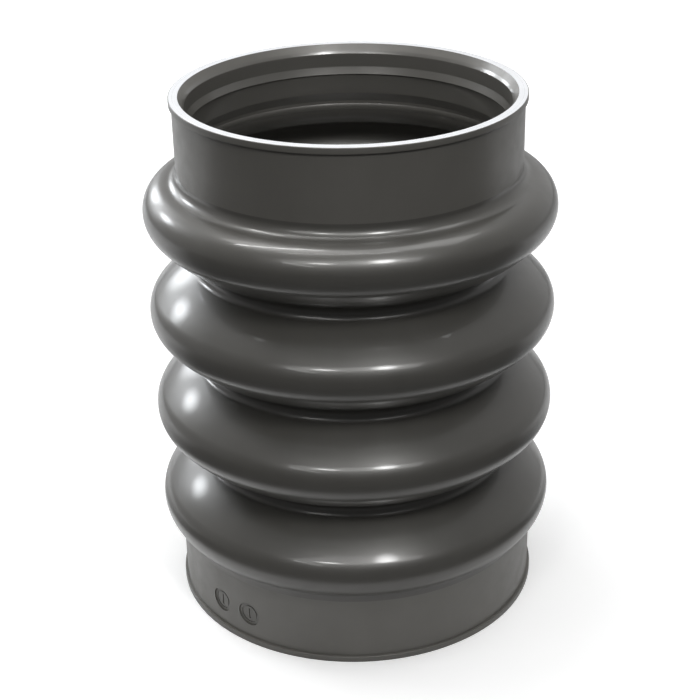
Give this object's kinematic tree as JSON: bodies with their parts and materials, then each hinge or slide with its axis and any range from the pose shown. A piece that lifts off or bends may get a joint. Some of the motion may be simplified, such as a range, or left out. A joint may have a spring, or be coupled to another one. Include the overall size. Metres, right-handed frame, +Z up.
{
  "type": "metal bellows expansion joint",
  "caption": "Thick-walled round metal bellows pipe joint with smooth rounded convolutions, a narrower plain cuff at the top and a wider one at the base.",
  "frame": {"origin": "centre of the bottom end face, on the pipe axis", "axes": "+Z up along the pipe axis, -Y towards the front, with the two port plugs on the lower cuff between -X and -Y"},
  "size_m": [0.3899, 0.39, 0.509],
  "materials": {
    "bellows_coat": "semi-gloss",
    "seam_coat": "semi-gloss, ground flush",
    "cuff_coat": "satin",
    "seat_coat": "semi-gloss",
    "end_ring_coat": "semi-gloss, bare machined end face",
    "plug_coat": "satin"
  },
  "bodies": {
    "lower_end": {"lower_end_ring": "end_ring_coat", "lower_seat_ring": "seat_coat", "lower_cuff": "cuff_coat", "lower_attachment_seam": "seam_coat", "port_plug_1": "plug_coat", "port_plug_2": "plug_coat"},
    "crest_1": {"lower_shell_1": "bellows_coat", "crest_seam_1": "seam_coat"},
    "root_1": {"upper_shell_1": "bellows_coat", "root_seam_1": "seam_coat"},
    "crest_2": {"lower_shell_2": "bellows_coat", "crest_seam_2": "seam_coat"},
    "root_2": {"upper_shell_2": "bellows_coat", "root_seam_2": "seam_coat"},
    "crest_3": {"lower_shell_3": "bellows_coat", "crest_seam_3": "seam_coat"},
    "root_3": {"upper_shell_3": "bellows_coat", "root_seam_3": "seam_coat"},
    "crest_4": {"lower_shell_4": "bellows_coat", "crest_seam_4": "seam_coat"},
    "upper_end": {"upper_shell_4": "bellows_coat", "upper_attachment_seam": "seam_coat", "upper_cuff": "cuff_coat", "upper_seat_ring": "seat_coat", "upper_end_ring": "end_ring_coat"}
  },
  "joints": [
    {"name": "stretch_1", "type": "slide", "parent": "lower_end", "child": "crest_1", "axis": [0, 0, 1], "range_m": [-0.004, 0.002], "stiffness_N_per_m": 350000, "deforming": ["lower_shell_1"]},
    {"name": "tilt_1", "type": "hinge", "parent": "crest_1", "child": "root_1", "pos_m": [0, 0, 0.1255], "axis": [0, 1, 0], "range_deg": [-1, 1], "stiffness_Nm_per_rad": 6000, "deforming": ["upper_shell_1"]},
    {"name": "stretch_2", "type": "slide", "parent": "root_1", "child": "crest_2", "axis": [0, 0, 1], "range_m": [-0.004, 0.002], "stiffness_N_per_m": 350000, "deforming": ["lower_shell_2"]},
    {"name": "tilt_2", "type": "hinge", "parent": "crest_2", "child": "root_2", "pos_m": [0, 0, 0.2261], "axis": [1, 0, 0], "range_deg": [-1, 1], "stiffness_Nm_per_rad": 6000, "deforming": ["upper_shell_2"]},
    {"name": "stretch_3", "type": "slide", "parent": "root_2", "child": "crest_3", "axis": [0, 0, 1], "range_m": [-0.004, 0.002], "stiffness_N_per_m": 350000, "deforming": ["lower_shell_3"]},
    {"name": "tilt_3", "type": "hinge", "parent": "crest_3", "child": "root_3", "pos_m": [0, 0, 0.3267], "axis": [1, 0, 0], "range_deg": [-1, 1], "stiffness_Nm_per_rad": 6000, "deforming": ["upper_shell_3"]},
    {"name": "stretch_4", "type": "slide", "parent": "root_3", "child": "crest_4", "axis": [0, 0, 1], "range_m": [-0.004, 0.002], "stiffness_N_per_m": 350000, "deforming": ["lower_shell_4"]},
    {"name": "tilt_4", "type": "hinge", "parent": "crest_4", "child": "upper_end", "pos_m": [0, 0, 0.4273], "axis": [0, 1, 0], "range_deg": [-1, 1], "stiffness_Nm_per_rad": 6000, "deforming": ["upper_shell_4"]}
  ],
  "couplings": [
    {"joint": "stretch_2", "follows": "stretch_1", "ratio": 1},
    {"joint": "stretch_3", "follows": "stretch_1", "ratio": 1},
    {"joint": "stretch_4", "follows": "stretch_1", "ratio": 1}
  ]
}
